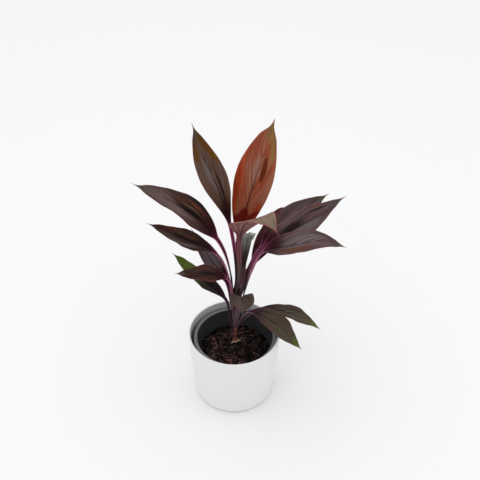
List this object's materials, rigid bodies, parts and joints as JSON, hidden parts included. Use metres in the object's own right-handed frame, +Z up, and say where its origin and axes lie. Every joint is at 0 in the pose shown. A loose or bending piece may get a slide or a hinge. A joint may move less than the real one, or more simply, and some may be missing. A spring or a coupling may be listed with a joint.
{
  "type": "potted ti plant",
  "caption": "Potted ti plant: a short cane with arching dark burgundy leaves on channelled petioles, in a grow pot inside a round cover pot.",
  "frame": {"origin": "middle of the cover pot's flat base, on the surface that the pot stands on", "axes": "+Z up along the pot's axis, -Y towards the side that the picture shows, +X to its right"},
  "size_m": [0.3092, 0.1871, 0.4895],
  "materials": {
    "cover_pot": "satin, light grey-white",
    "grow_pot": "matt, anthracite",
    "soil": "rough, fibrous peat and bark",
    "cane": "ringed reddish bark",
    "leaf": "waxy, dark burgundy with green tips"
  },
  "bodies": {
    "root": {"cover_pot": "cover_pot", "nursery_pot": "grow_pot", "soil": "soil", "cane": "cane", "leaf_01": "leaf", "leaf_02": "leaf", "leaf_03": "leaf", "leaf_04": "leaf", "leaf_05": "leaf", "leaf_06": "leaf", "leaf_07": "leaf", "leaf_08": "leaf", "leaf_09": "leaf", "leaf_10": "leaf", "leaf_11": "leaf", "leaf_12": "leaf", "leaf_13": "leaf", "leaf_14": "leaf", "leaf_15": "leaf", "leaf_16": "leaf"}
  },
  "joints": []
}
